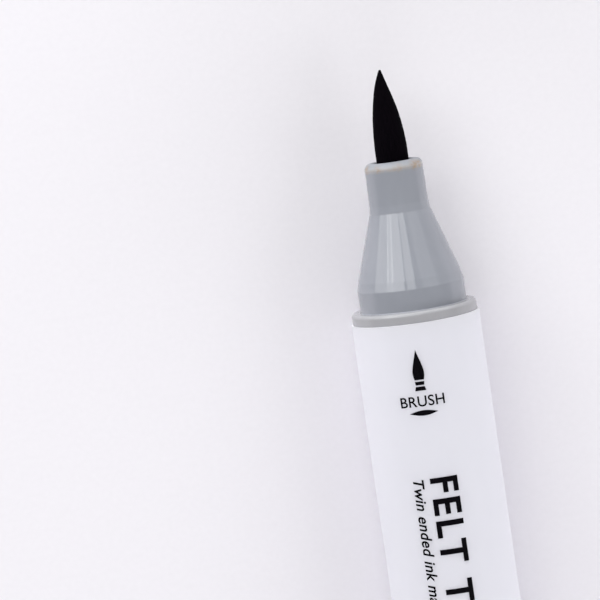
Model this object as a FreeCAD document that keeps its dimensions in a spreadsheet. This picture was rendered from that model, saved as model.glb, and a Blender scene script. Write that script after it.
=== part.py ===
import FreeCAD, Part
import os
import Sketcher
from FreeCAD import Placement, Rotation, Vector

# Twin tip marker, lying on a table along Y: uncapped brush nib toward +Y, capped chisel nib toward -Y.
# Z = 0 is the table. The brush cap has been pulled off and lies in line, ahead of the nib.
# Each piece is drawn along its own X axis, from the inner or closed end outward, and then placed.

SIZES = {
    # barrel
    "barrel_r": 7.65,
    "barrel_len": 76.4,
    "barrel_bore_r": 6.3,
    "barrel_edge": 0.1,
    "rib_r": 5.75,
    "rib_wide": 0.8,
    "rib_count": 6,
    "rib_end_gap": 1.0,
    "rib_root": 0.1,
    # what both nozzles share
    "plug_r": 6.28,
    "plug_wall": 1.1,
    "plug_len": 8.0,
    "collar_r": 7.47,
    "collar_len": 1.3,
    "collar_front_edge": 0.5,
    "collar_back_edge": 0.1,
    "skirt_r": 6.38,
    "skirt_len": 2.55,
    "shoulder_len": 1.1,
    "shoulder_drop": 0.24,
    "flare_len": 0.95,
    "flare_out": 0.11,
    "throat_len": 1.5,
    "skirt_round": 0.8,
    "tube_round": 1.0,
    "grip_wide": 0.6,
    "grip_count": 4,
    "grip_squeeze": 0.02,
    "grip_setback": 1.0,
    # brush end
    "cone_len": 8.85,
    "tube_len": 6.0,
    "tube_root_r": 3.525,
    "tube_mouth_r": 3.45,
    "tube_edge": 0.75,
    "mouth_bore_r": 2.3,
    "brush_r": 1.915,
    "brush_out": 10.8,
    "ogive_len": 9.8,
    "ogive_r": 27.65,
    "ogive_tip_r": 0.12,
    "brush_back_edge": 0.6,
    # chisel end
    "chisel_cone_len": 6.0,
    "chisel_tube_len": 6.0,
    "chisel_tube_r": 4.7,
    "chisel_edge": 0.6,
    "chisel_wide": 6.4,
    "chisel_thick": 3.6,
    "chisel_out": 8.0,
    "chisel_slant": 3.6,
    "chisel_bevel": 1.2,
    "slot_overrun": 0.5,
    "shank_r": 2.0,
    "shank_room": 0.1,
    "shank_lap": 1.0,
    # ink store
    "core_r": 5.5,
    "film_wall": 0.2,
    "socket_len": 8.0,
    # caps
    "brush_cap_len": 39.0,
    "chisel_cap_len": 32.0,
    "cap_bore_r": 6.43,
    "cap_edge": 0.25,
    "web_at": 4.6,
    "web_len": 1.2,
    "end_disc_len": 2.0,
    "end_disc_edge": 0.9,
    "flange_len": 1.6,
    "liner_wall": 1.0,
    "tip_room": 1.6,
    "liner_lip": 5.2,
    "fit": 0.035,
    "seat_gap": 0.05,
    "cap_gap": 24.0,
}

doc = FreeCAD.newDocument("felt_tip_marker")
sheet = doc.addObject("Spreadsheet::Sheet", "Size")
for row, (alias, number) in enumerate(SIZES.items(), start=1):
    sheet.set(f"A{row}", alias)
    sheet.set(f"B{row}", str(number))
    sheet.setAlias(f"B{row}", alias)
doc.recompute()


def sized(text):
    """Turn the sheet's words in an expression into references to the sheet."""
    words = [f"Size.{word}" if word in SIZES else word for word in text.split()]
    return " ".join(words)


def read(expression):
    """Work out an expression's value in millimetres."""
    return float(sheet.evalExpression(expression))


# Places along the pen, from the sheet's sizes. NOSE is from a nozzle's mouth to its collar's front.
NOSE = "( tube_len + cone_len + skirt_len )"
CHISEL_NOSE = "( chisel_tube_len + chisel_cone_len + skirt_len )"
HALF_LENGTH = (
    "( ( chisel_cap_len + brush_cap_len + seat_gap + 2 * collar_len + barrel_len"
    f" + {NOSE} + brush_out + cap_gap ) / 2 )"
)
BARREL_BACK = f"( chisel_cap_len + seat_gap + collar_len - {HALF_LENGTH} )"
BARREL_FRONT = f"( {BARREL_BACK} + barrel_len )"


def new_body(name, y, toward_nib):
    """Start a piece whose own X axis points along the pen, with its origin on the pen's axis at y."""
    body = doc.addObject("PartDesign::Body", name)
    body.Label = name
    turn = Rotation(Vector(0, 0, 1), 90 if toward_nib else -90)
    body.Placement = Placement(Vector(0, 0, 0), turn)
    body.setExpression("Placement.Base.y", sized(y))
    body.setExpression("Placement.Base.z", sized("barrel_r"))
    return body


def new_sketch(body, name, role):
    """Start a sketch on one of the body's own origin planes."""
    plane = next(item for item in body.Origin.OriginFeatures if item.Role == role)
    sketch = body.newObject("Sketcher::SketchObject", name)
    sketch.AttachmentSupport = (plane, [""])
    sketch.MapMode = "FlatFace"
    return sketch


def pin(sketch, edge, end, across, up):
    """Tie one end of an edge to the sheet's sizes, from the sketch's origin."""
    for kind, axis, text in (("DistanceX", -2, across), ("DistanceY", -1, up)):
        expression = sized(text)
        value = read(expression)
        if abs(value) < 1e-9:
            sketch.addConstraint(Sketcher.Constraint("PointOnObject", edge, end, axis))
            continue
        index = sketch.addConstraint(Sketcher.Constraint(kind, -1, 1, edge, end, value))
        sketch.setExpression(f"Constraints[{index}]", expression)


def arc_between(start, end, radius):
    """An arc that bulges to the left of the way from start to end."""
    chord = end - start
    sagitta = radius - (radius ** 2 - chord.Length ** 2 / 4) ** 0.5
    left = Vector(-chord.y, chord.x, 0).normalize()
    return Part.Arc(start, (start + end) / 2 + left * sagitta, end)


def draw_outline(sketch, points):
    """Draw a closed outline. A point is (across, up), or (across, up, radius) before an arc."""
    places = [Vector(read(sized(point[0])), read(sized(point[1])), 0) for point in points]
    ends = []
    for index, point in enumerate(points):
        start = places[index]
        end = places[(index + 1) % len(points)]
        if len(point) == 2:
            edge = sketch.addGeometry(Part.LineSegment(start, end), False)
        else:
            edge = sketch.addGeometry(arc_between(start, end, read(sized(point[2]))), False)
        starts_first = sketch.getPoint(edge, 1).distanceToPoint(start) < 1e-6
        ends.append((edge, 1, 2) if starts_first else (edge, 2, 1))
    for index, (edge, first, last) in enumerate(ends):
        next_edge, next_first, _ = ends[(index + 1) % len(ends)]
        sketch.addConstraint(Sketcher.Constraint("Coincident", edge, last, next_edge, next_first))
        pin(sketch, edge, first, points[index][0], points[index][1])
        if len(points[index]) == 3:
            expression = sized(points[index][2])
            radius = sketch.addConstraint(Sketcher.Constraint("Radius", edge, read(expression)))
            sketch.setExpression(f"Constraints[{radius}]", expression)


def revolve(body, name, points):
    """Turn an outline of (along, out) points about the pen's axis."""
    sketch = new_sketch(body, name + "_outline", "XY_Plane")
    draw_outline(sketch, points)
    feature = body.newObject("PartDesign::Revolution", name)
    feature.Profile = sketch
    feature.ReferenceAxis = (sketch, ["H_Axis"])
    feature.Angle = 360
    doc.recompute()
    return feature


def cross_section(body, name, along, points):
    """Draw an outline square to the pen's axis, at a distance along it."""
    sketch = new_sketch(body, name, "YZ_Plane")
    sketch.setExpression("AttachmentOffset.Base.z", sized(along))
    draw_outline(sketch, points)
    return sketch


def circle_edges(feature, along, radius):
    """Names of a feature's round edges of one radius at one distance along the axis."""
    place = read(sized(along))
    size = read(sized(radius))
    names = []
    for number, edge in enumerate(feature.Shape.Edges, start=1):
        if not isinstance(edge.Curve, Part.Circle):
            continue
        at_place = abs(edge.Curve.Center.x - place) < 1e-5
        if at_place and abs(edge.Curve.Radius - size) < 1e-5:
            names.append(f"Edge{number}")
    if not names:
        raise ValueError(f"{feature.Label} has no round edge at {along}")
    return names


def soften(body, base, name, places, size, kind="Fillet"):
    """Round or chamfer a feature's round edges, given as (along, radius) pairs."""
    feature = body.newObject("PartDesign::" + kind, name)
    edges = [edge for along, radius in places for edge in circle_edges(base, along, radius)]
    feature.Base = (base, edges)
    feature.setExpression("Radius" if kind == "Fillet" else "Size", sized(size))
    doc.recompute()
    return feature


def add_ribs(body, name, start, length, inner_r, outer_r, width, count):
    """Add straight ribs inside a bore, spaced evenly round the axis."""
    side = f"{width} / 2"
    corners = [
        (inner_r, f"- {side}"),
        (outer_r, f"- {side}"),
        (outer_r, side),
        (inner_r, side),
    ]
    sketch = cross_section(body, name + "_outline", start, corners)
    rib = body.newObject("PartDesign::Pad", name + "_first")
    rib.Profile = sketch
    rib.setExpression("Length", sized(length))
    doc.recompute()
    ribs = body.newObject("PartDesign::PolarPattern", name)
    ribs.Originals = [rib]
    ribs.Axis = (sketch, ["N_Axis"])
    ribs.Angle = 360
    ribs.setExpression("Occurrences", sized(count))
    body.Tip = ribs
    doc.recompute()
    return ribs


def make_barrel():
    body = new_body("barrel", BARREL_BACK, True)
    tube = revolve(body, "barrel_tube", [
        ("0", "barrel_bore_r"),
        ("barrel_len", "barrel_bore_r"),
        ("barrel_len", "barrel_r"),
        ("0", "barrel_r"),
    ])
    edges = [("0", "barrel_r"), ("barrel_len", "barrel_r")]
    soften(body, tube, "barrel_edges", edges, "barrel_edge")
    add_ribs(
        body, "barrel_ribs", "plug_len + rib_end_gap", "barrel_len - 2 * ( plug_len + rib_end_gap )",
        "rib_r", "barrel_bore_r + rib_root", "rib_wide", "rib_count",
    )
    return body


def nozzle_outline(nose, cone_len, root_r, mouth_r, bore_r):
    """Outline of a nozzle: bore, hollow, press-in plug, collar, skirt, shoulder, cone and flared tube."""
    collar_front = "( plug_len + collar_len )"
    mouth = f"( {collar_front} + {nose} )"
    cone_end = f"{collar_front} + skirt_len + {cone_len}"
    return [
        ("0", "plug_r - plug_wall"),
        (f"{collar_front} + skirt_len", "plug_r - plug_wall"),
        (f"{cone_end} - throat_len", bore_r),
        (mouth, bore_r),
        (mouth, mouth_r),
        (f"{cone_end} + flare_len", root_r),
        (cone_end, f"{root_r} + flare_out"),
        (f"{collar_front} + skirt_len + shoulder_len", "skirt_r - shoulder_drop"),
        (f"{collar_front} + skirt_len", "skirt_r"),
        (collar_front, "skirt_r"),
        (collar_front, "collar_r"),
        ("plug_len", "collar_r"),
        ("plug_len", "plug_r"),
        ("0", "plug_r"),
    ]


def soften_nozzle(body, base, name, nose, cone_len, root_r, mouth_r, mouth_edge):
    """Round a nozzle's collar, both ends of its cone and the outside of its mouth."""
    cone_start = "plug_len + collar_len + skirt_len"
    back_edge = [("plug_len", "collar_r")]
    back = soften(body, base, name + "_collar_back_edge", back_edge, "collar_back_edge")
    front_edge = [("plug_len + collar_len", "collar_r")]
    front = soften(body, back, name + "_collar_front_edge", front_edge, "collar_front_edge")
    skirt = soften(body, front, name + "_skirt_round", [(cone_start, "skirt_r")], "skirt_round")
    cone_end = [(f"{cone_start} + {cone_len}", f"{root_r} + flare_out")]
    tube = soften(body, skirt, name + "_tube_round", cone_end, "tube_round")
    mouth = [(f"plug_len + collar_len + {nose}", mouth_r)]
    return soften(body, tube, name + "_mouth_edge", mouth, mouth_edge)


def make_brush_nozzle():
    body = new_body("brush_nozzle", f"{BARREL_FRONT} - plug_len", True)
    points = nozzle_outline(NOSE, "cone_len", "tube_root_r", "tube_mouth_r", "mouth_bore_r")
    shell = revolve(body, "brush_nozzle_shell", points)
    soften_nozzle(
        body, shell, "brush_nozzle", NOSE, "cone_len", "tube_root_r", "tube_mouth_r", "tube_edge")
    add_ribs(
        body, "brush_grips", "plug_len + collar_len + skirt_len + cone_len", "tube_len - grip_setback",
        "brush_r - grip_squeeze", "mouth_bore_r + rib_root", "grip_wide", "grip_count",
    )
    return body


def make_chisel_nozzle():
    body = new_body("chisel_nozzle", f"{BARREL_BACK} + plug_len", False)
    mouth = f"plug_len + collar_len + {CHISEL_NOSE}"
    points = nozzle_outline(
        CHISEL_NOSE, "chisel_cone_len", "chisel_tube_r", "chisel_tube_r", "shank_r + shank_room")
    shell = revolve(body, "chisel_nozzle_shell", points)
    soften_nozzle(
        body, shell, "chisel_nozzle", CHISEL_NOSE, "chisel_cone_len", "chisel_tube_r",
        "chisel_tube_r", "chisel_edge",
    )
    half_wide = "( chisel_wide / 2 )"
    half_thick = "( chisel_thick / 2 )"
    slot = cross_section(body, "chisel_slot_outline", mouth, [
        (f"- {half_wide}", f"- {half_thick}"),
        (half_wide, f"- {half_thick}"),
        (half_wide, half_thick),
        (f"- {half_wide}", half_thick),
    ])
    pocket = body.newObject("PartDesign::Pocket", "chisel_slot")
    pocket.Profile = slot
    pocket.setExpression("Length", sized("chisel_tube_len + slot_overrun"))
    doc.recompute()
    return body


def make_brush_nib():
    inner_end = f"{BARREL_FRONT} - plug_len - socket_len"
    shank = f"( socket_len + plug_len + collar_len + {NOSE} + brush_out - ogive_len )"
    body = new_body("brush_nib", inner_end, True)
    nib = revolve(body, "brush_nib_shape", [
        (f"{shank} + ogive_len", "ogive_tip_r"),
        (f"{shank} + ogive_len", "0"),
        ("0", "0"),
        ("0", "brush_r"),
        (shank, "brush_r", "ogive_r"),
    ])
    soften(body, nib, "brush_nib_back", [("0", "brush_r")], "brush_back_edge", "Chamfer")
    return body


def make_chisel_nib():
    inner_end = f"{BARREL_BACK} + plug_len + socket_len"
    slot_floor = "( socket_len + plug_len + collar_len + chisel_cone_len + skirt_len - slot_overrun )"
    tip = f"( {slot_floor} + slot_overrun + chisel_tube_len + chisel_out )"
    half_wide = "( chisel_wide / 2 )"
    body = new_body("chisel_nib", inner_end, False)
    revolve(body, "chisel_shank", [
        ("0", "0"),
        (f"{slot_floor} + shank_lap", "0"),
        (f"{slot_floor} + shank_lap", "shank_r"),
        ("0", "shank_r"),
    ])
    sketch = new_sketch(body, "chisel_outline", "XY_Plane")
    draw_outline(sketch, [
        (slot_floor, f"- {half_wide}"),
        (f"{tip} - chisel_slant", f"- {half_wide}"),
        (tip, half_wide),
        (slot_floor, half_wide),
    ])
    blade = body.newObject("PartDesign::Pad", "chisel_blade")
    blade.Profile = sketch
    blade.Midplane = True
    blade.setExpression("Length", sized("chisel_thick"))
    doc.recompute()
    slant_end = read(sized(f"{tip} - chisel_slant"))
    slanted = []
    for number, edge in enumerate(blade.Shape.Edges, start=1):
        ends = [vertex.Point for vertex in edge.Vertexes]
        beyond = all(point.x > slant_end - 1e-6 for point in ends)
        if beyond and len(ends) == 2 and abs(ends[0].y - ends[1].y) > 1:
            slanted.append(f"Edge{number}")
    bevel = body.newObject("PartDesign::Chamfer", "chisel_bevel")
    bevel.Base = (blade, slanted)
    bevel.setExpression("Size", sized("chisel_bevel"))
    doc.recompute()
    return body


def make_reservoir():
    length = "( barrel_len - 2 * plug_len )"
    core = new_body("ink_reservoir", f"{BARREL_BACK} + plug_len", True)
    brush_floor = f"{length} - socket_len"
    revolve(core, "core", [
        ("0", "shank_r"),
        ("socket_len", "shank_r"),
        ("socket_len", "0"),
        (brush_floor, "0"),
        (brush_floor, "brush_r"),
        (length, "brush_r"),
        (length, "core_r"),
        ("0", "core_r"),
    ])
    film = new_body("reservoir_film", f"{BARREL_BACK} + plug_len", True)
    revolve(film, "film_tube", [
        ("0", "core_r"),
        (length, "core_r"),
        (length, "core_r + film_wall"),
        ("0", "core_r + film_wall"),
    ])
    return [core, film]


def make_cap(name, outer_end, toward_nib, cap_len, nose, tube_r, nib_out):
    """Make a cap's shell, its sealing liner and its coloured end plug, from the closed end inward."""
    shell = new_body(name, outer_end, toward_nib)
    web_back = "( web_at + web_len )"
    tube = revolve(shell, name + "_shell", [
        ("end_disc_len", "cap_bore_r"),
        ("web_at", "cap_bore_r"),
        ("web_at", "0"),
        (web_back, "0"),
        (web_back, "cap_bore_r"),
        (cap_len, "cap_bore_r"),
        (cap_len, "barrel_r"),
        ("end_disc_len", "barrel_r"),
    ])
    mouth_edges = [(cap_len, "barrel_r"), (cap_len, "cap_bore_r")]
    soften(shell, tube, name + "_mouth_edges", mouth_edges, "cap_edge")

    mouth_plane = f"( {cap_len} - {nose} )"
    liner_floor = f"( {mouth_plane} - {nib_out} - tip_room )"
    lip = f"( {mouth_plane} + liner_lip )"
    bore_r = f"( {tube_r} + fit )"
    liner = new_body(name + "_liner", outer_end, toward_nib)
    revolve(liner, name + "_liner_shape", [
        (web_back, "0"),
        (liner_floor, "0"),
        (liner_floor, bore_r),
        (lip, bore_r),
        (lip, f"{bore_r} + liner_wall"),
        (f"{web_back} + flange_len", f"{bore_r} + liner_wall"),
        (f"{web_back} + flange_len", "cap_bore_r"),
        (web_back, "cap_bore_r"),
    ])

    end_plug = new_body(name + "_end_plug", outer_end, toward_nib)
    disc = revolve(end_plug, name + "_end_plug_shape", [
        ("0", "0"),
        ("web_at", "0"),
        ("web_at", "cap_bore_r"),
        ("end_disc_len", "cap_bore_r"),
        ("end_disc_len", "barrel_r"),
        ("0", "barrel_r"),
    ])
    soften(end_plug, disc, name + "_end_plug_edge", [("0", "barrel_r")], "end_disc_edge")
    return [shell, liner, end_plug]


def check_and_write(bodies):
    """Stop if anything failed to build, and write each piece to a file of its own."""
    doc.recompute()
    for item in doc.Objects:
        if "Invalid" in item.State or "Error" in item.State:
            raise RuntimeError(f"{item.Label} did not build: {item.State}")
    os.makedirs("parts", exist_ok=True)
    for body in bodies:
        shape = body.Shape
        if shape.isNull() or not shape.isValid() or len(shape.Solids) != 1:
            raise RuntimeError(f"{body.Label} is not one valid solid")
        shape.exportStep(f"parts/{body.Label}.step")
        print(f"{body.Label}: {shape.Volume:.1f} mm3, {shape.BoundBox}")


bodies = [make_barrel(), make_brush_nozzle(), make_chisel_nozzle(), make_brush_nib(), make_chisel_nib()]
bodies += make_reservoir()
bodies += make_cap(
    "brush_cap", HALF_LENGTH, False, "brush_cap_len", NOSE, "tube_root_r", "brush_out")
bodies += make_cap(
    "chisel_cap", f"- {HALF_LENGTH}", True, "chisel_cap_len", CHISEL_NOSE, "chisel_tube_r", "chisel_out")
check_and_write(bodies)
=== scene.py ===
"""Looks of the twin tip marker. It lies along Y, brush nib toward +Y, with its own cap in line ahead."""
import math
from functools import cache

import bmesh
import bpy
from mathutils import Matrix, Vector, noise


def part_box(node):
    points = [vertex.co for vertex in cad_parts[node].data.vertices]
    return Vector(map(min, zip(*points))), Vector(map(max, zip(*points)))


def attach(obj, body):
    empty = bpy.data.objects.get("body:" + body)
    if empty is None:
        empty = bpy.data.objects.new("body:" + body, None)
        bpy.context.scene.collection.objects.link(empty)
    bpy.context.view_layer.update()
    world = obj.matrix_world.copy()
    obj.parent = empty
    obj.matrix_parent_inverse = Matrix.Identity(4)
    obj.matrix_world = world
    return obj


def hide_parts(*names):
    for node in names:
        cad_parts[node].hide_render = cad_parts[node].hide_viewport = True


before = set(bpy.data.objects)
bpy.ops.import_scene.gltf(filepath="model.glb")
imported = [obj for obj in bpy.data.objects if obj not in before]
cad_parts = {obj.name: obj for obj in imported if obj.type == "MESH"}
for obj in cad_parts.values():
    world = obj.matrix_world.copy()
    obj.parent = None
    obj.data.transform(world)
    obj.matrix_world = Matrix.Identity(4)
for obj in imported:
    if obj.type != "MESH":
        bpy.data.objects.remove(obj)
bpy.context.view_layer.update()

# ---------------------------------------------------------------- sizes, in millimetres and degrees
MM = 0.001
SEGMENTS = 256

BARREL_LOW, BARREL_HIGH = (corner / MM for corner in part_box("barrel"))
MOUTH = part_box("brush_nozzle")[1].y / MM
CHISEL_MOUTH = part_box("chisel_nozzle")[0].y / MM
NIB_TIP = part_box("brush_nib")[1].y / MM
CHISEL_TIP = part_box("chisel_nib")[0].y / MM
BARREL_R = (BARREL_HIGH.x - BARREL_LOW.x) / 2
AXIS_Z = (BARREL_HIGH.z + BARREL_LOW.z) / 2
FRONT = BARREL_HIGH.y
BACK = BARREL_LOW.y
BARREL_BORE_R = 6.3

# Both nozzles: collar, skirt and plug. The cone swells at its shoulder and the tube flares at its root.
COLLAR_R = 7.47
COLLAR_LEN = 1.3
SKIRT_R = 6.38
SKIRT_LEN = 2.55
SHOULDER_LEN = 1.1
SHOULDER_DROP = 0.24
FLARE_LEN = 0.95
FLARE_OUT = 0.11
PLUG_R = 6.28
PLUG_WALL = 1.1
PLUG_LEN = 8.0

# The brush end: the nozzle's tube and the nib, an arc of radius OGIVE_R drawn in to a point.
TUBE_ROOT_R = 3.525
TUBE_MOUTH_R = 3.45
TUBE_LEN = 6.0
BORE_TAPER_LEN = 1.5
MOUTH_BORE_R = 2.3
MOUTH_ROUND = 0.75
BRUSH_R = 1.915
OGIVE_LEN = 9.8
OGIVE_R = 27.65
NIB_BOW = 0.12
NIB_BOW_SKEW = 2.8
NIB_END_CHAMFER = 0.4

# The chisel end: the nozzle's tube, the slot and the blade.
CHISEL_TUBE_R = 4.7
CHISEL_TUBE_LEN = 6.0
CHISEL_ROUND = 0.6
CHISEL_BORE_R = 2.1
SLOT_FLOOR = CHISEL_MOUTH + CHISEL_TUBE_LEN + 0.5
CHISEL_WIDE = 6.4
CHISEL_THICK = 3.6
CHISEL_SLANT = 3.6
CHISEL_BEVEL = 1.2
SHANK_R = 2.0

# The caps, counted from their outer end: the plug with a shallow dish in its face, the shell and the liner.
CAP_BORE_R = 6.43
CAP_WEB_AT = 4.6
CAP_WEB_LEN = 1.2
END_DISC_LEN = 2.0
LINER_WALL = 1.0
LINER_CLEARANCE = 0.035
LINER_ON_TUBE = 5.2
NIB_ROOM = 1.6
FLANGE_LEN = 1.6
DISH_DEPTH = 0.35
DISH_RIM = 2.2
DISH_FLOOR_EDGE = 2.5

# The print, a film that stands PRINT_THICK proud: angles from the top toward +X, and places behind FRONT.
PRINT_THICK = 0.012
SIGN_TURN = -6.4
SIGN_BEHIND_FRONT = 6.6
TIP_WORD_BEHIND_FRONT = 9.2
STROKE_BEHIND_FRONT = 10.52
LINES_BEHIND_FRONT = 18.1
WORD_TURN = 0.9
SMALL_LINE_TURN = -21.1

# Ink marks on the mouth's edge: angle from the top toward +X in degrees, reach in millimetres, strength.
INK_STAINS = [(-72, 0.8, 0.8), (-36, 0.7, 0.75), (6, 0.9, 0.4), (44, 1.0, 0.75), (60, 0.8, 0.9)]

# ---------------------------------------------------------------- geometry


def rounded(corners, steps=8):
    """Points of a closed outline. A corner is (along, out) or (along, out, radius) where it is rounded."""
    points = []
    count = len(corners)
    for index, corner in enumerate(corners):
        here = Vector(corner[:2])
        radius = corner[2] if len(corner) > 2 else 0
        if not radius:
            points.append(here)
            continue
        before = Vector(corners[index - 1][:2]) - here
        after = Vector(corners[(index + 1) % count][:2]) - here
        before_way = before.normalized()
        after_way = after.normalized()
        half = before_way.angle(after_way) / 2
        reach = radius / math.tan(half)
        start = here + before_way * reach
        end = here + after_way * reach
        centre = here + (before_way + after_way).normalized() * (radius / math.sin(half))
        first = math.atan2(start.y - centre.y, start.x - centre.x)
        last = math.atan2(end.y - centre.y, end.x - centre.x)
        sweep = (last - first + math.pi) % (2 * math.pi) - math.pi
        # A narrow flat strip at each end keeps the rounding's shading off the faces beside it.
        keep_flat = min(radius * 0.05, 0.03)
        points.append(start + before_way * keep_flat)
        for step in range(steps + 1):
            turn = first + sweep * step / steps
            points.append(centre + Vector((math.cos(turn), math.sin(turn))) * radius)
        points.append(end + after_way * keep_flat)
    return points


def finish_mesh(mesh, bm, sharp=30):
    """Write a bmesh, in millimetres, to a mesh in metres, smooth except across sharp edges."""
    bmesh.ops.recalc_face_normals(bm, faces=bm.faces)
    bmesh.ops.scale(bm, vec=(MM, MM, MM), verts=bm.verts)
    for face in bm.faces:
        face.smooth = True
    bm.to_mesh(mesh)
    bm.free()
    mesh.set_sharp_from_angle(angle=math.radians(sharp))


def new_piece(name, bm, sharp=30):
    """A new object from a bmesh in millimetres."""
    mesh = bpy.data.meshes.new(name)
    finish_mesh(mesh, bm, sharp)
    piece = bpy.data.objects.new(name, mesh)
    bpy.context.scene.collection.objects.link(piece)
    return piece


def skin(name, rings):
    """Join rings of points, in order, into one closed mesh. A ring may be a single point."""
    bm = bmesh.new()
    loops = [[bm.verts.new(point) for point in ring] for ring in rings]
    for index, loop in enumerate(loops):
        other = loops[(index + 1) % len(loops)]
        count = max(len(loop), len(other))
        if count == 1:
            continue
        for number in range(count):
            after = (number + 1) % count
            corners = [loop[number % len(loop)], loop[after % len(loop)],
                       other[after % len(other)], other[number % len(other)]]
            bm.faces.new(list(dict.fromkeys(corners)))
    return new_piece(name, bm)


def lathe(name, outline, start, way, segments=SEGMENTS, shape=None):
    """Turn a closed outline of (along, out) points about the pen's axis.

    along is counted from start, toward +Y where way is 1 and toward -Y where it is -1.
    shape, if given, moves each point: it takes and returns (x, y, z), with x and z from the axis.
    """
    rings = []
    for along, out in outline:
        y = start + way * along
        if out < 1e-6:
            rings.append([(0, y, AXIS_Z)])
            continue
        ring = []
        for number in range(segments):
            turn = 2 * math.pi * number / segments
            place = (out * math.sin(turn), y, out * math.cos(turn))
            if shape:
                place = shape(*place)
            ring.append((place[0], place[1], place[2] + AXIS_Z))
        rings.append(ring)
    return skin(name, rings)


def wrapped(name, curve_piece, middle_turn, y, quarter_turn=False):
    """Wrap a flat, extruded curve or text object round the barrel as a thin film of print.

    The object's origin goes to the angle middle_turn (degrees from the top, toward +X) and to y.
    With quarter_turn the line runs toward -Y, tops of the letters toward +X.
    """
    mesh = bpy.data.meshes.new_from_object(curve_piece)
    curve = curve_piece.data
    bpy.data.objects.remove(curve_piece)
    bpy.data.curves.remove(curve)
    bm = bmesh.new()
    bm.from_mesh(mesh)
    bpy.data.meshes.remove(mesh)
    bmesh.ops.remove_doubles(bm, verts=bm.verts, dist=1e-4)
    if quarter_turn:
        bmesh.ops.rotate(bm, verts=bm.verts, matrix=Matrix.Rotation(-math.pi / 2, 3, "Z"))
    reach = max(abs(vert.co.x) for vert in bm.verts)
    strip = 0.25
    for number in range(-math.ceil(reach / strip), math.ceil(reach / strip) + 1):
        geometry = bm.verts[:] + bm.edges[:] + bm.faces[:]
        bmesh.ops.bisect_plane(
            bm, geom=geometry, plane_co=(number * strip, 0, 0), plane_no=(1, 0, 0), dist=1e-5)
    for vert in bm.verts:
        turn = math.radians(middle_turn) + vert.co.x / BARREL_R
        out = BARREL_R + PRINT_THICK * (1 if vert.co.z > 0 else -1)
        vert.co = Vector((out * math.sin(turn), y + vert.co.y, AXIS_Z + out * math.cos(turn)))
    piece = new_piece(name, bm, sharp=40)
    piece.data.materials.append(print_ink())
    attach(piece, "pen")
    return piece


# ---------------------------------------------------------------- materials


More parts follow.
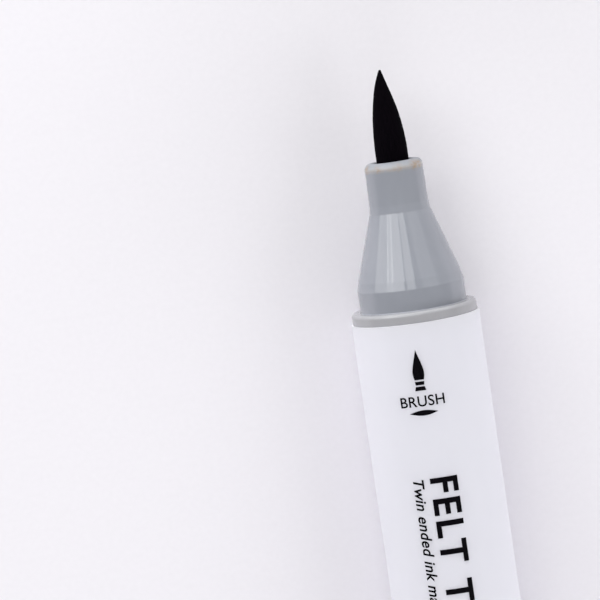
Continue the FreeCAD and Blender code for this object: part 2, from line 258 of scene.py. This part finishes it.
class Shader:
    """A material's node tree, with a few calls that keep each material short."""

    def __init__(self, name):
        self.material = bpy.data.materials.new(name)
        self.material.use_nodes = True
        self.tree = self.material.node_tree
        self.surface = self.tree.nodes["Principled BSDF"]
        self.coords = self.add("ShaderNodeTexCoord").outputs["Object"]

    def add(self, kind, **settings):
        node = self.tree.nodes.new(kind)
        for name, value in settings.items():
            setattr(node, name, value)
        return node

    def join(self, source, target):
        self.tree.links.new(source, target)

    def set(self, **values):
        """Set sockets of the surface shader; an underscore stands for a space."""
        for name, value in values.items():
            self.surface.inputs[name.replace("_", " ")].default_value = value

    def stretched(self, scale):
        """Object coordinates, in millimetres, times a scale for each axis."""
        mapping = self.add("ShaderNodeMapping")
        mapping.inputs["Scale"].default_value = [share / MM for share in scale]
        self.join(self.coords, mapping.inputs["Vector"])
        return mapping.outputs["Vector"]

    def noise(self, scale, detail=2.0, roughness=0.5):
        texture = self.add("ShaderNodeTexNoise")
        texture.inputs["Scale"].default_value = 1.0
        texture.inputs["Detail"].default_value = detail
        texture.inputs["Roughness"].default_value = roughness
        self.join(self.stretched(scale), texture.inputs["Vector"])
        return texture.outputs["Fac"]

    def range(self, value, low, high, to_low, to_high, smooth=False):
        node = self.add("ShaderNodeMapRange")
        node.interpolation_type = "SMOOTHSTEP" if smooth else "LINEAR"
        for name, number in zip(("From Min", "From Max", "To Min", "To Max"), (low, high, to_low, to_high)):
            node.inputs[name].default_value = number
        self.join(value, node.inputs["Value"])
        return node.outputs["Result"]

    def math(self, operation, first, second):
        node = self.add("ShaderNodeMath", operation=operation)
        for socket, value in zip(node.inputs, (first, second)):
            if isinstance(value, (int, float)):
                socket.default_value = value
            else:
                self.join(value, socket)
        return node.outputs["Value"]

    def mix(self, factor, first, second):
        node = self.add("ShaderNodeMix", data_type="RGBA")
        self.join(factor, node.inputs["Factor"])
        for name, value in (("A", first), ("B", second)):
            socket = next(s for s in node.inputs if s.name == name and s.type == "RGBA")
            if isinstance(value, tuple):
                socket.default_value = value
            else:
                self.join(value, socket)
        return next(s for s in node.outputs if s.type == "RGBA")

    def colour_by(self, value, low, high, first, second):
        """Base colour that goes from first to second while value goes from low to high."""
        colour = self.mix(self.range(value, low, high, 0, 1), first, second)
        self.join(colour, self.surface.inputs["Base Color"])

    def roughness_by(self, value, smoothest, roughest):
        """Roughness that follows a noise between two limits."""
        roughness = self.range(value, 0.3, 0.7, smoothest, roughest)
        self.join(roughness, self.surface.inputs["Roughness"])

    def near(self, centre, radius, softness=0.5):
        """1 near a point given in millimetres, falling to 0 at radius."""
        distance = self.add("ShaderNodeVectorMath", operation="DISTANCE")
        self.join(self.coords, distance.inputs[0])
        distance.inputs[1].default_value = Vector(centre) * MM
        inner = radius * (1 - softness)
        return self.range(distance.outputs["Value"], inner * MM, radius * MM, 1.0, 0.0, smooth=True)

    def along(self, start, end):
        """0 up to one place along the pen, in millimetres, rising to 1 at another."""
        split = self.add("ShaderNodeSeparateXYZ")
        self.join(self.coords, split.inputs["Vector"])
        return self.range(split.outputs["Y"], start * MM, end * MM, 0.0, 1.0, smooth=True)

    def stained(self, colour):
        """A colour with brown ink marks, broken up by noise, laid over it along the mouth's edge."""
        blotches = self.noise((2.2, 2.8, 2.2), detail=3, roughness=0.6)
        # A thin line of ink runs right round, between 1.25 and 0.45 mm behind the mouth.
        before_edge = self.along(MOUTH - 1.25, MOUTH - 0.85)
        past_edge = self.along(MOUTH - 0.75, MOUTH - 0.45)
        line = self.math("SUBTRACT", before_edge, past_edge)
        tint = self.math("MULTIPLY", line, self.range(blotches, 0.30, 0.70, 0.05, 0.40))
        colour = self.mix(tint, colour, (0.42, 0.33, 0.24, 1))
        for turn, reach, strength in INK_STAINS:
            spot = self.near(on_mouth_edge(turn), reach, softness=0.8)
            patch = self.math("MULTIPLY", spot, self.range(blotches, 0.36, 0.64, 0.15 * strength, strength))
            colour = self.mix(patch, colour, (0.35, 0.255, 0.175, 1))
        return colour

    def bump(self, height, distance_mm, strength=1.0):
        node = self.add("ShaderNodeBump")
        node.inputs["Distance"].default_value = distance_mm * MM
        node.inputs["Strength"].default_value = strength
        self.join(height, node.inputs["Height"])
        self.join(node.outputs["Normal"], self.surface.inputs["Normal"])


def on_mouth_edge(turn):
    """A point on the outer edge of the brush nozzle's mouth."""
    out = TUBE_MOUTH_R - 0.1
    angle = math.radians(turn)
    return out * math.sin(angle), MOUTH - 0.6, AXIS_Z + out * math.cos(angle)


@cache
def barrel_white():
    """Satin white plastic with a trace of blue, faintly clouded by handling."""
    shader = Shader("barrel_white")
    cloud = shader.noise((0.12, 0.05, 0.12), detail=3)
    shader.colour_by(cloud, 0.35, 0.65, (0.711, 0.707, 0.774, 1), (0.729, 0.725, 0.792, 1))
    rubbed = shader.noise((0.5, 0.2, 0.5), detail=4)
    shader.roughness_by(rubbed, 0.46, 0.56)
    shader.set(Specular_IOR_Level=0.1, Subsurface_Weight=0.6, Subsurface_Scale=0.003,
               Subsurface_Radius=(1.0, 1.0, 1.0))
    shader.bump(shader.noise((9, 9, 9), detail=2), 0.002)
    return shader.material


@cache
def nozzle_grey():
    """Glossy blue-grey plastic, rubbed matt round the mouth and painted lighter there as a painted
    highlight, with ink dried on its edge.
    """
    shader = Shader("nozzle_grey")
    cloud = shader.noise((0.2, 0.2, 0.2), detail=3)
    plastic = shader.mix(
        shader.range(cloud, 0.3, 0.7, 0, 1), (0.268, 0.281, 0.316, 1), (0.283, 0.295, 0.330, 1))
    # The mouth's rounding is rubbed matt and painted lighter as a painted highlight where it faces the
    # light; the flat face round the nib is darker again, where that painted highlight ends.
    rubbed = shader.along(MOUTH - 1.2, MOUTH - 0.45)
    colour_with_painted_highlight = shader.mix(rubbed, plastic, (0.400, 0.410, 0.432, 1))
    colour_with_painted_highlight = shader.mix(shader.along(MOUTH - 0.75, MOUTH - 0.15), colour_with_painted_highlight, (0.285, 0.300, 0.332, 1))
    shader.join(shader.stained(colour_with_painted_highlight), shader.surface.inputs["Base Color"])
    haze = shader.noise((0.6, 0.6, 0.6), detail=3)
    gloss = shader.range(haze, 0.3, 0.7, 0.03, 0.06)
    shader.join(shader.math("MAXIMUM", gloss, shader.math("MULTIPLY", rubbed, 0.45)),
                shader.surface.inputs["Roughness"])
    shader.set(IOR=1.5, Subsurface_Weight=0.12, Subsurface_Scale=0.0012, Subsurface_Radius=(1.0, 1.0, 1.1))
    return shader.material


@cache
def collar_grey():
    """The nozzle's own plastic with a fine matt texture."""
    shader = Shader("collar_grey")
    grain = shader.noise((14, 14, 14), detail=2)
    cloud = shader.noise((0.5, 0.5, 0.5), detail=3)
    both = shader.math("ADD", shader.math("MULTIPLY", grain, 0.5), shader.math("MULTIPLY", cloud, 0.5))
    shader.colour_by(both, 0.35, 0.65, (0.333, 0.332, 0.350, 1), (0.358, 0.357, 0.375, 1))
    shader.roughness_by(grain, 0.13, 0.20)
    shader.bump(grain, 0.003)
    return shader.material


@cache
def nib_felt():
    """Black ink-soaked fibre, drawn out along the nib."""
    shader = Shader("nib_felt")
    fibres = shader.noise((7, 0.7, 7), detail=4, roughness=0.6)
    shader.colour_by(fibres, 0.35, 0.7, (0.0010, 0.0007, 0.0014, 1), (0.0034, 0.0022, 0.0038, 1))
    shader.roughness_by(fibres, 0.75, 0.95)
    shader.set(Specular_IOR_Level=0.02)
    shader.bump(fibres, 0.05)
    return shader.material


@cache
def chisel_felt():
    """Brown-black ink-soaked fibre."""
    shader = Shader("chisel_felt")
    fibres = shader.noise((6, 0.8, 6), detail=4, roughness=0.6)
    shader.colour_by(fibres, 0.35, 0.7, (0.0045, 0.0022, 0.0020, 1), (0.014, 0.0070, 0.0055, 1))
    shader.set(Roughness=0.85, Specular_IOR_Level=0.25)
    shader.bump(fibres, 0.04)
    return shader.material


@cache
def cap_grey():
    """Slate-grey satin plastic with a fine spark-eroded grain."""
    shader = Shader("cap_grey")
    cloud = shader.noise((0.15, 0.06, 0.15), detail=3)
    shader.colour_by(cloud, 0.3, 0.7, (0.060, 0.065, 0.075, 1), (0.070, 0.075, 0.085, 1))
    rubbed = shader.noise((0.4, 0.2, 0.4), detail=4)
    shader.roughness_by(rubbed, 0.36, 0.46)
    shader.bump(shader.noise((10, 10, 10), detail=2), 0.003)
    return shader.material


@cache
def liner_natural():
    """Undyed, slightly milky plastic."""
    shader = Shader("liner_natural")
    cloud = shader.noise((0.3, 0.3, 0.3), detail=2)
    shader.colour_by(cloud, 0.3, 0.7, (0.66, 0.67, 0.65, 1), (0.71, 0.72, 0.70, 1))
    shader.set(Roughness=0.32, Subsurface_Weight=0.3, Subsurface_Scale=0.002)
    return shader.material


@cache
def ink_colour():
    """Glossy plastic dyed to the ink's brown."""
    shader = Shader("ink_colour")
    cloud = shader.noise((0.25, 0.25, 0.25), detail=2)
    shader.colour_by(cloud, 0.3, 0.7, (0.090, 0.031, 0.017, 1), (0.108, 0.038, 0.021, 1))
    shader.set(Roughness=0.22)
    shader.bump(shader.noise((6, 6, 6), detail=2), 0.003)
    return shader.material


@cache
def ink_fibre():
    """Fibre core soaked with ink, fibres along the pen."""
    shader = Shader("ink_fibre")
    fibres = shader.noise((5, 0.3, 5), detail=4)
    shader.colour_by(fibres, 0.3, 0.7, (0.07, 0.025, 0.015, 1), (0.13, 0.05, 0.03, 1))
    shader.set(Roughness=0.9)
    shader.bump(fibres, 0.05)
    return shader.material


@cache
def clear_film():
    """Thin clear film, slightly wrinkled."""
    shader = Shader("clear_film")
    wrinkles = shader.noise((0.8, 0.15, 0.8), detail=3)
    shader.set(Base_Color=(0.85, 0.87, 0.9, 1), Roughness=0.15, Transmission_Weight=0.9, IOR=1.45)
    shader.bump(wrinkles, 0.05)
    return shader.material


@cache
def print_ink():
    """Matt black print with faint specks where it lies thin."""
    shader = Shader("print_ink")
    specks = shader.noise((5, 5, 5), detail=3)
    shader.colour_by(specks, 0.45, 0.8, (0.0016, 0.0012, 0.0022, 1), (0.0050, 0.0038, 0.0060, 1))
    shader.set(Roughness=0.5, Specular_IOR_Level=0.04)
    return shader.material


# ---------------------------------------------------------------- pieces


def place(piece, body, node, material, slot):
    """Give a piece its material, and let it stand for a CAD node on a body."""
    piece.data.materials.append(material)
    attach(piece, body)
    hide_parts(node)
    return piece


def make_barrel():
    length = FRONT - BACK
    outline = rounded([
        (0, BARREL_BORE_R),
        (length, BARREL_BORE_R),
        (length, BARREL_R, 0.05),
        (0, BARREL_R, 0.05),
    ])
    piece = lathe("barrel_shell", outline, BACK, 1)
    return place(piece, "pen", "barrel", barrel_white(), "barrel_white")


def nozzle_corners(nose, tube_len, root_r, mouth_r, bore_r, mouth_round):
    """Corners of a nozzle, counted outward from the barrel's end."""
    mouth = COLLAR_LEN + nose
    cone_start = COLLAR_LEN + SKIRT_LEN
    return [
        (-PLUG_LEN, PLUG_R - PLUG_WALL),
        (cone_start, PLUG_R - PLUG_WALL),
        (mouth - tube_len - BORE_TAPER_LEN, bore_r),
        (mouth, bore_r, 0.2),
        (mouth, mouth_r, mouth_round),
        (mouth - tube_len + FLARE_LEN, root_r, 3.0),
        (mouth - tube_len, root_r + FLARE_OUT, 1.0),
        (cone_start + SHOULDER_LEN, SKIRT_R - SHOULDER_DROP, 3.0),
        (cone_start, SKIRT_R, 0.8),
        (COLLAR_LEN, SKIRT_R, 0.12),
        (COLLAR_LEN, COLLAR_R, 0.42),
        (0.0, COLLAR_R, 0.05),
        (0.0, PLUG_R),
        (-PLUG_LEN, PLUG_R, 0.3),
    ]


def paint_collar(piece, barrel_end):
    """Give the faces of a nozzle's collar the matt material."""
    tolerance = 0.01
    skirt_foot = 0.15
    piece.data.materials.append(collar_grey())
    for face in piece.data.polygons:
        on_collar = abs(face.center.y / MM - barrel_end) < COLLAR_LEN + tolerance
        out = math.hypot(face.center.x, face.center.z - AXIS_Z * MM) / MM
        if on_collar and out > SKIRT_R + skirt_foot:
            face.material_index = 1


def make_brush_nozzle():
    nose = MOUTH - FRONT - COLLAR_LEN
    corners = nozzle_corners(nose, TUBE_LEN, TUBE_ROOT_R, TUBE_MOUTH_R, MOUTH_BORE_R, MOUTH_ROUND)
    piece = lathe("brush_nozzle_shell", rounded(corners), FRONT, 1)
    place(piece, "pen", "brush_nozzle", nozzle_grey(), "nozzle_grey")
    paint_collar(piece, FRONT)
    return piece


def make_chisel_nozzle():
    """The far end's nozzle, with a slot for the blade cut into its round bore."""
    nose = BACK - COLLAR_LEN - CHISEL_MOUTH
    corners = nozzle_corners(
        nose, CHISEL_TUBE_LEN, CHISEL_TUBE_R, CHISEL_TUBE_R, CHISEL_BORE_R, CHISEL_ROUND)
    floor = BACK - SLOT_FLOOR
    # The slot's floor is a step this long, and the bore's wall and rounded lip lie within wall_edge.
    step_len = 0.001
    wall_edge = CHISEL_BORE_R + 0.35
    corners[3:3] = [(floor, CHISEL_BORE_R), (floor + step_len, CHISEL_BORE_R)]

    def slotted(x, y, z):
        """Push the bore's wall out to the slot's, where the slot is the wider."""
        out = math.hypot(x, z)
        if y > SLOT_FLOOR - step_len / 2 or out > wall_edge:
            return x, y, z
        turn = math.atan2(x, z)
        to_side = CHISEL_WIDE / 2 / max(abs(math.sin(turn)), 1e-6)
        to_face = CHISEL_THICK / 2 / max(abs(math.cos(turn)), 1e-6)
        wall = max(CHISEL_BORE_R, min(to_side, to_face))
        scale = (wall + out - CHISEL_BORE_R) / out
        return x * scale, y, z * scale

    piece = lathe("chisel_nozzle_shell", rounded(corners), BACK, -1, shape=slotted)
    place(piece, "pen", "chisel_nozzle", nozzle_grey(), "nozzle_grey")
    paint_collar(piece, BACK)
    return piece


def make_chisel_nib():
    """Blade of soaked fibre on a round shank. Its end is slanted, bevelled on both faces and soft-edged."""
    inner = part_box("chisel_nib")[1].y / MM
    half_wide = CHISEL_WIDE / 2
    half_thick = CHISEL_THICK / 2
    slant = CHISEL_SLANT / CHISEL_WIDE
    soft = 0.22
    side_len = 18.0
    nap_height = 0.02
    streak_depth = 0.008
    segments = 240
    side_steps = 40
    edge_steps = 6
    end_steps = 24

    def circle(y, out):
        turns = [2 * math.pi * number / segments for number in range(segments)]
        return [(out * math.sin(turn), y, AXIS_Z + out * math.cos(turn)) for turn in turns]

    def reach(turn):
        """Distance from the axis to the blade's side, a rectangle with slightly rounded corners."""
        across = abs(math.sin(turn)) / half_wide
        up = abs(math.cos(turn)) / half_thick
        return (across ** 16 + up ** 16) ** (-1 / 16)

    def end(x, z):
        past_bevel = abs(z) - (half_thick - CHISEL_BEVEL)
        bevel = (past_bevel + math.hypot(past_bevel, 0.1)) / 2
        return CHISEL_TIP + slant * (half_wide - x) + bevel * math.hypot(1, slant)

    def ring(inset, share, depth):
        """Points inset from the side, then share of the way in to the axis, depth behind the end."""
        points = []
        for number in range(segments):
            turn = 2 * math.pi * number / segments
            out = (reach(turn) - inset) * (1 - share)
            x = out * math.sin(turn)
            z = out * math.cos(turn)
            nap = nap_height * noise.noise(Vector((x * 3, depth, z * 3)))
            y = min(SLOT_FLOOR, end(x, z) + depth + nap)
            streak = 1 + streak_depth * noise.noise(Vector((x * 5, y * 0.4, z * 5)))
            points.append((x * streak, y, AXIS_Z + z * streak))
        return points

    rings = [[(0, inner, AXIS_Z)], circle(inner, SHANK_R - 0.2), circle(inner - 0.2, SHANK_R)]
    rings += [circle(SLOT_FLOOR, SHANK_R)]
    for step in range(side_steps + 1):
        rings.append(ring(0, 0, side_len * (1 - step / side_steps) ** 1.5 + soft))
    for step in range(1, edge_steps + 1):
        turn = math.pi / 2 * step / edge_steps
        rings.append(ring(soft * (1 - math.cos(turn)), 0, soft * (1 - math.sin(turn))))
    for step in range(1, end_steps):
        rings.append(ring(soft, step / end_steps, 0))
    rings.append([(0, end(0, 0), AXIS_Z)])
    piece = skin("chisel_nib_fibre", rings)
    return place(piece, "pen", "chisel_nib", chisel_felt(), "chisel_felt")


def make_brush_nib():
    """Ogive with fibres drawn out along it, on a straight shank."""
    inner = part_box("brush_nib")[0].y / MM
    length = NIB_TIP - inner
    straight = length - OGIVE_LEN
    straight_steps = 30
    ogive_steps = 90
    streak_depth = 0.018
    nap_height = 0.010
    outline = [Vector((0, 0)), Vector((0, BRUSH_R - NIB_END_CHAMFER)), Vector((NIB_END_CHAMFER, BRUSH_R))]
    for step in range(straight_steps + 1):
        along = NIB_END_CHAMFER + (straight - NIB_END_CHAMFER) * step / straight_steps
        outline.append(Vector((along, BRUSH_R)))
    for step in range(1, ogive_steps + 1):
        along = OGIVE_LEN * math.sin(math.pi / 2 * step / ogive_steps)
        out = BRUSH_R - OGIVE_R + math.sqrt(OGIVE_R ** 2 - along ** 2)
        outline.append(Vector((straight + along, out)))
    outline.append(Vector((length, 0)))

    def fibres(x, y, z):
        """Ripple the surface along the fibres and let the soft tip bow a little toward -X."""
        out = math.hypot(x, z)
        turn = math.atan2(x, z)
        streak = noise.noise(Vector((math.sin(turn) * 9, y * 0.35, math.cos(turn) * 9)))
        nap = noise.noise(Vector((x * 9, y * 5, z * 9)))
        scale = 1 + (streak_depth * streak + nap_height * nap) * min(1, out / 0.6)
        share = max(0, (y - (NIB_TIP - OGIVE_LEN)) / OGIVE_LEN)
        bow = -NIB_BOW * math.sin(math.pi * share ** NIB_BOW_SKEW)
        return x * scale + bow, y, z * scale

    piece = lathe("brush_nib_fibre", outline, inner, 1, segments=160, shape=fibres)
    return place(piece, "pen", "brush_nib", nib_felt(), "nib_felt")


def paint_node(node, material):
    """A better material for a CAD node that keeps its own shape."""
    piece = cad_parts[node]
    piece.data.materials.clear()
    piece.data.materials.append(material)


def make_cap(name, body, outer_end, way, mouth_y, tube_r, nib_out):
    """A cap's shell, liner and end plug, counted from its outer end toward its mouth.

    tube_r is the radius of the nozzle's tube that the liner seals on, and nib_out how far the nib stands
    out of that tube.
    """
    length = abs(mouth_y - outer_end)
    web_back = CAP_WEB_AT + CAP_WEB_LEN
    shell = lathe(name + "_shell", rounded([
        (END_DISC_LEN, CAP_BORE_R),
        (CAP_WEB_AT, CAP_BORE_R),
        (CAP_WEB_AT, 0),
        (web_back, 0),
        (web_back, CAP_BORE_R),
        (length, CAP_BORE_R, 0.25),
        (length, BARREL_R, 0.3),
        (END_DISC_LEN, BARREL_R, 0.15),
    ]), outer_end, way)
    place(shell, body, name, cap_grey(), "cap_grey")

    low, high = (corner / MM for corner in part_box(name + "_liner"))
    lip = max(abs(low.y - outer_end), abs(high.y - outer_end))
    bore_r = tube_r + LINER_CLEARANCE
    floor = lip - nib_out - NIB_ROOM - LINER_ON_TUBE
    liner = lathe(name + "_liner_shell", rounded([
        (web_back, 0),
        (floor, 0),
        (floor, bore_r, 0.5),
        (lip, bore_r, 0.3),
        (lip, bore_r + LINER_WALL, 0.25),
        (web_back + FLANGE_LEN, bore_r + LINER_WALL, 0.4),
        (web_back + FLANGE_LEN, CAP_BORE_R),
        (web_back, CAP_BORE_R),
    ]), outer_end, way)
    place(liner, body, name + "_liner", liner_natural(), "liner_natural")

    plug = lathe(name + "_end_plug_disc", rounded([
        (DISH_DEPTH, 0),
        (CAP_WEB_AT, 0),
        (CAP_WEB_AT, CAP_BORE_R),
        (END_DISC_LEN, CAP_BORE_R),
        (END_DISC_LEN, BARREL_R, 0.12),
        (0, BARREL_R, 0.9),
        (0, BARREL_R - DISH_RIM, 0.15),
        (DISH_DEPTH, BARREL_R - DISH_FLOOR_EDGE, 0.15),
    ]), outer_end, way)
    place(plug, body, name + "_end_plug", ink_colour(), "ink_colour")


def flat_text(text, size, offset=0.0, shear=0.0, spacing=1.0, align="CENTER"):
    """An extruded text object, its size in millimetres."""
    curve = bpy.data.curves.new("print", "FONT")
    curve.body = text
    curve.size = size
    curve.offset = offset
    curve.shear = shear
    curve.space_character = spacing
    curve.align_x = align
    curve.align_y = "CENTER"
    curve.extrude = PRINT_THICK
    curve.resolution_u = 6
    piece = bpy.data.objects.new("print", curve)
    bpy.context.scene.collection.objects.link(piece)
    return piece


def flat_shape(outlines):
    """An extruded shape from closed outlines of (x, y) points in millimetres."""
    curve = bpy.data.curves.new("print", "CURVE")
    curve.dimensions = "2D"
    curve.fill_mode = "BOTH"
    curve.extrude = PRINT_THICK
    for points in outlines:
        spline = curve.splines.new("POLY")
        spline.points.add(len(points) - 1)
        for point, (x, y) in zip(spline.points, points):
            point.co = (x, y, 0, 1)
        spline.use_cyclic_u = True
    piece = bpy.data.objects.new("print", curve)
    bpy.context.scene.collection.objects.link(piece)
    return piece


def mirrored(right):
    """A closed outline from its right half, which ends on the middle line or goes straight across it."""
    left = [(-x, y) for x, y in reversed(right) if x > 1e-6]
    return right + left


def brush_sign():
    """Outlines of a plain round paintbrush: a leaf-shaped tip, a ferrule and the start of its handle."""
    half_wide = 0.76
    height = 3.6
    steps = 24
    tip = []
    for step in range(steps):
        share = step / steps
        swell = 0.72 + 0.28 * math.sin(min(1, share / 0.35) * math.pi / 2)
        tip.append((half_wide * swell * math.cos(share * math.pi / 2) ** 1.2, height * share))
    tip.append((0, height))
    ferrule = [(0.50, -0.62), (0.55, -0.20)]
    handle = [(0.66, -1.28), (0.52, -0.80)]
    return [mirrored(tip), mirrored(ferrule), mirrored(handle)]


def stroke_sign():
    """Outline of a level stroke that swells in its middle and thins out at both ends."""
    half_long = 1.7
    half_thick = 0.32
    steps = 24
    top = []
    for step in range(steps + 1):
        share = step / steps
        top.append((half_long * (2 * share - 1), half_thick * math.sin(math.pi * share)))
    low = [(x, -y) for x, y in reversed(top[1:-1])]
    return [top + low]


def make_print():
    """Generic print: the nib's name between a brush and a stroke, and a plain name down the barrel."""
    tip_word = flat_text("BRUSH", 1.76, offset=0.018, spacing=1.03)
    wrapped("print_brush_sign", flat_shape(brush_sign()), SIGN_TURN, FRONT - SIGN_BEHIND_FRONT)
    wrapped("print_tip_word", tip_word, SIGN_TURN, FRONT - TIP_WORD_BEHIND_FRONT)
    wrapped("print_stroke_sign", flat_shape(stroke_sign()), SIGN_TURN, FRONT - STROKE_BEHIND_FRONT)
    word = flat_text("FELT TIP PEN", 4.5, offset=0.10, spacing=1.18, align="LEFT")
    wrapped("print_word", word, WORD_TURN, FRONT - LINES_BEHIND_FRONT, quarter_turn=True)
    line = flat_text("Twin ended ink marker", 1.85, offset=0.032, shear=0.25, spacing=1.05, align="LEFT")
    wrapped("print_small_line", line, SMALL_LINE_TURN, FRONT - LINES_BEHIND_FRONT, quarter_turn=True)


make_barrel()
make_brush_nozzle()
make_brush_nib()
make_chisel_nozzle()
make_chisel_nib()
make_cap("brush_cap", "brush_cap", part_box("brush_cap_end_plug")[1].y / MM, -1,
         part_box("brush_cap")[0].y / MM, TUBE_ROOT_R, NIB_TIP - MOUTH)
make_cap("chisel_cap", "chisel_cap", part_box("chisel_cap_end_plug")[0].y / MM, 1,
         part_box("chisel_cap")[1].y / MM, CHISEL_TUBE_R, CHISEL_MOUTH - CHISEL_TIP)
paint_node("ink_reservoir", ink_fibre())
paint_node("reservoir_film", clear_film())
make_print()

# ---------------------------------------------------------------- stage, light and camera

# The camera looks down on the brush end. Its aim lies to the left of the axis and behind the mouth.
VIEW_DISTANCE = 391.5
VIEW_TILT = math.radians(6.0)
VIEW_ROLL = math.radians(8.45)
AIM_LEFT = 13.25
AIM_BEHIND_MOUTH = 14.77
FOCAL_LENGTH = 198.0


def make_floor():
    """A table covered with plain, faintly mottled paper."""
    bm = bmesh.new()
    half = 2000
    for x, y in ((-half, -half), (half, -half), (half, half), (-half, half)):
        bm.verts.new((x, y, 0))
    bm.faces.new(bm.verts)
    floor = new_piece("floor", bm)
    shader = Shader("paper")
    fibres = shader.noise((1.5, 1.5, 1.5), detail=4)
    shader.colour_by(fibres, 0.3, 0.7, (0.82, 0.801, 0.841, 1), (0.835, 0.816, 0.856, 1))
    shader.set(Roughness=0.95, Specular_IOR_Level=0.1)
    floor.data.materials.append(shader.material)


def panel(name, turn, lean, across, along, brightness, distance=0.6):
    """A soft panel that faces the front of the barrel.

    turn is its direction in degrees round the pen, from straight above toward +X, and lean in degrees
    toward the nib. across and along are the angles it fills, round the pen and along it. Its face is
    brightness times as bright as a white surface under full light; distance is in metres.
    """
    turn = math.radians(turn)
    lean = math.radians(lean)
    toward = Vector((math.cos(lean) * math.sin(turn), math.sin(lean), math.cos(lean) * math.cos(turn)))
    side = Vector((math.cos(turn), 0, -math.sin(turn)))
    data = bpy.data.lights.new(name, "AREA")
    data.shape = "RECTANGLE"
    data.size = 2 * distance * math.tan(math.radians(across / 2))
    data.size_y = 2 * distance * math.tan(math.radians(along / 2))
    data.energy = math.pi * data.size * data.size_y * brightness
    lamp = bpy.data.objects.new(name, data)
    centre = Vector((0, FRONT, AXIS_Z)) * MM
    axes = Matrix((side, toward.cross(side), toward)).transposed()
    lamp.matrix_world = Matrix.Translation(centre + toward * distance) @ axes.to_4x4()
    lamp.visible_camera = False
    bpy.context.scene.collection.objects.link(lamp)


def make_lights():
    """A large window ahead to the left, a weaker one ahead to the right, one behind to the right, and
    broad fill ahead and behind."""
    panel("left_low", -72, 28, 32, 32, 2.35, distance=1.2)
    panel("left_peak", -49.3, 28, 13, 32, 3.6, distance=0.5)
    panel("left_high", -29.3, 28, 27, 32, 3.3, distance=0.4)
    panel("top", -0.9, 28, 17.5, 32, 2.55)
    panel("right_high", 43, 28, 34, 32, 0.82)
    panel("right_low", 76, 28, 32, 32, 0.3, distance=1.2)
    panel("front_low", 0, 78, 90, 24, 4.1, distance=3.5)
    panel("front_left_low", -78, 58, 30, 28, 1.2, distance=2.5)
    panel("back_right", 62, -30, 50, 34, 2.75, distance=1.2)
    panel("back_low", 18, -58, 50, 34, 1.15, distance=0.3)
    panel("back_top", 0, -40, 50, 40, 0.35)
    world = bpy.data.worlds.new("room")
    world.use_nodes = True
    world.node_tree.nodes["Background"].inputs["Color"].default_value = (1, 1, 1, 1)
    world.node_tree.nodes["Background"].inputs["Strength"].default_value = 0.14
    bpy.context.scene.world = world
    bpy.context.scene.view_settings.view_transform = "Standard"


def make_camera():
    """A long lens above the pen, tilted a little toward the barrel and turned with the nib to the left."""
    target = Vector((-AIM_LEFT * MM, (MOUTH - AIM_BEHIND_MOUTH) * MM, AXIS_Z * MM))
    back = Vector((0, math.sin(VIEW_TILT), math.cos(VIEW_TILT)))
    along_nib = Vector((0, math.cos(VIEW_TILT), -math.sin(VIEW_TILT)))
    across = along_nib.cross(back)
    up = along_nib * math.cos(VIEW_ROLL) + across * math.sin(VIEW_ROLL)
    right = across * math.cos(VIEW_ROLL) - along_nib * math.sin(VIEW_ROLL)
    data = bpy.data.cameras.new("camera")
    data.lens = FOCAL_LENGTH
    data.sensor_width = 36.0
    camera = bpy.data.objects.new("camera", data)
    turn = Matrix((right, up, back)).transposed()
    camera.matrix_world = Matrix.Translation(target + back * VIEW_DISTANCE * MM) @ turn.to_4x4()
    bpy.context.scene.collection.objects.link(camera)
    bpy.context.scene.camera = camera


make_floor()
make_lights()
make_camera()
